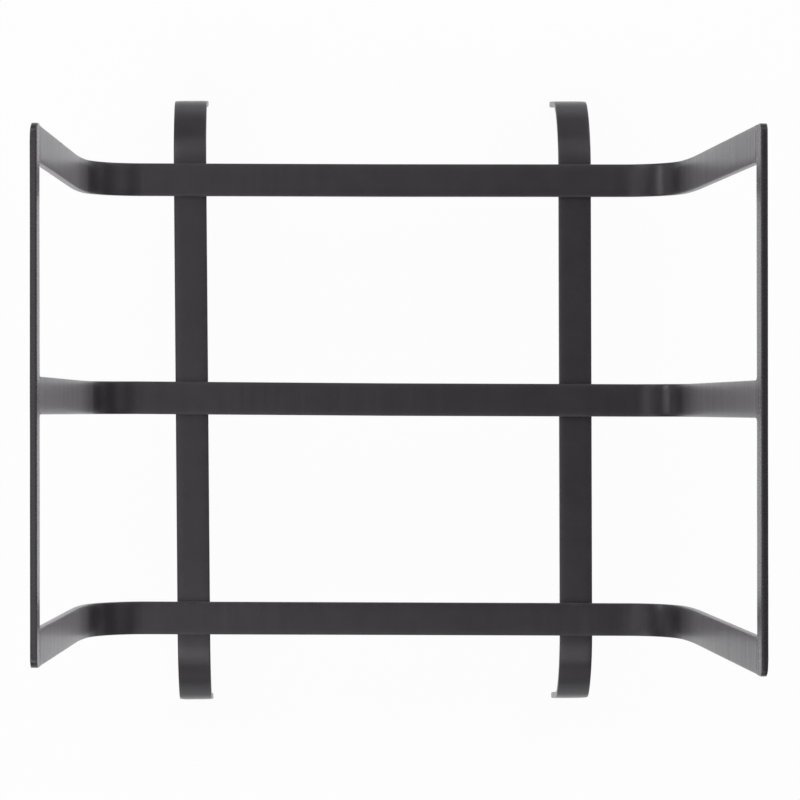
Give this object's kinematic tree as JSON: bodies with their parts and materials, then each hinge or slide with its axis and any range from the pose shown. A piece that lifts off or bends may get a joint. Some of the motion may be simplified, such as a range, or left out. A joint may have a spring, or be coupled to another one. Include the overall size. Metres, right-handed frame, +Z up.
{
  "type": "log holder",
  "caption": "Open hearth rack of welded black flat steel bar: U-shaped floor straps with leaning sides, side rails on edge, and foot straps that curl down into legs.",
  "frame": {"origin": "on the ground, under the middle of the rack", "axes": "+X to the right along the long straps, +Y to the back along the side rails, +Z up"},
  "size_m": [0.482, 0.474, 0.411],
  "materials": {
    "long_straps": "satin black powder coat",
    "side_rails": "satin black powder coat",
    "foot_straps": "satin black powder coat",
    "weld_beads": "satin black powder coat over weld metal"
  },
  "bodies": {
    "root": {"back_strap": "long_straps", "middle_strap": "long_straps", "front_strap": "long_straps", "left_rail": "side_rails", "right_rail": "side_rails", "left_foot_strap": "foot_straps", "right_foot_strap": "foot_straps", "left_rail_welds": "weld_beads", "right_rail_welds": "weld_beads", "left_foot_welds": "weld_beads", "right_foot_welds": "weld_beads"}
  },
  "joints": []
}
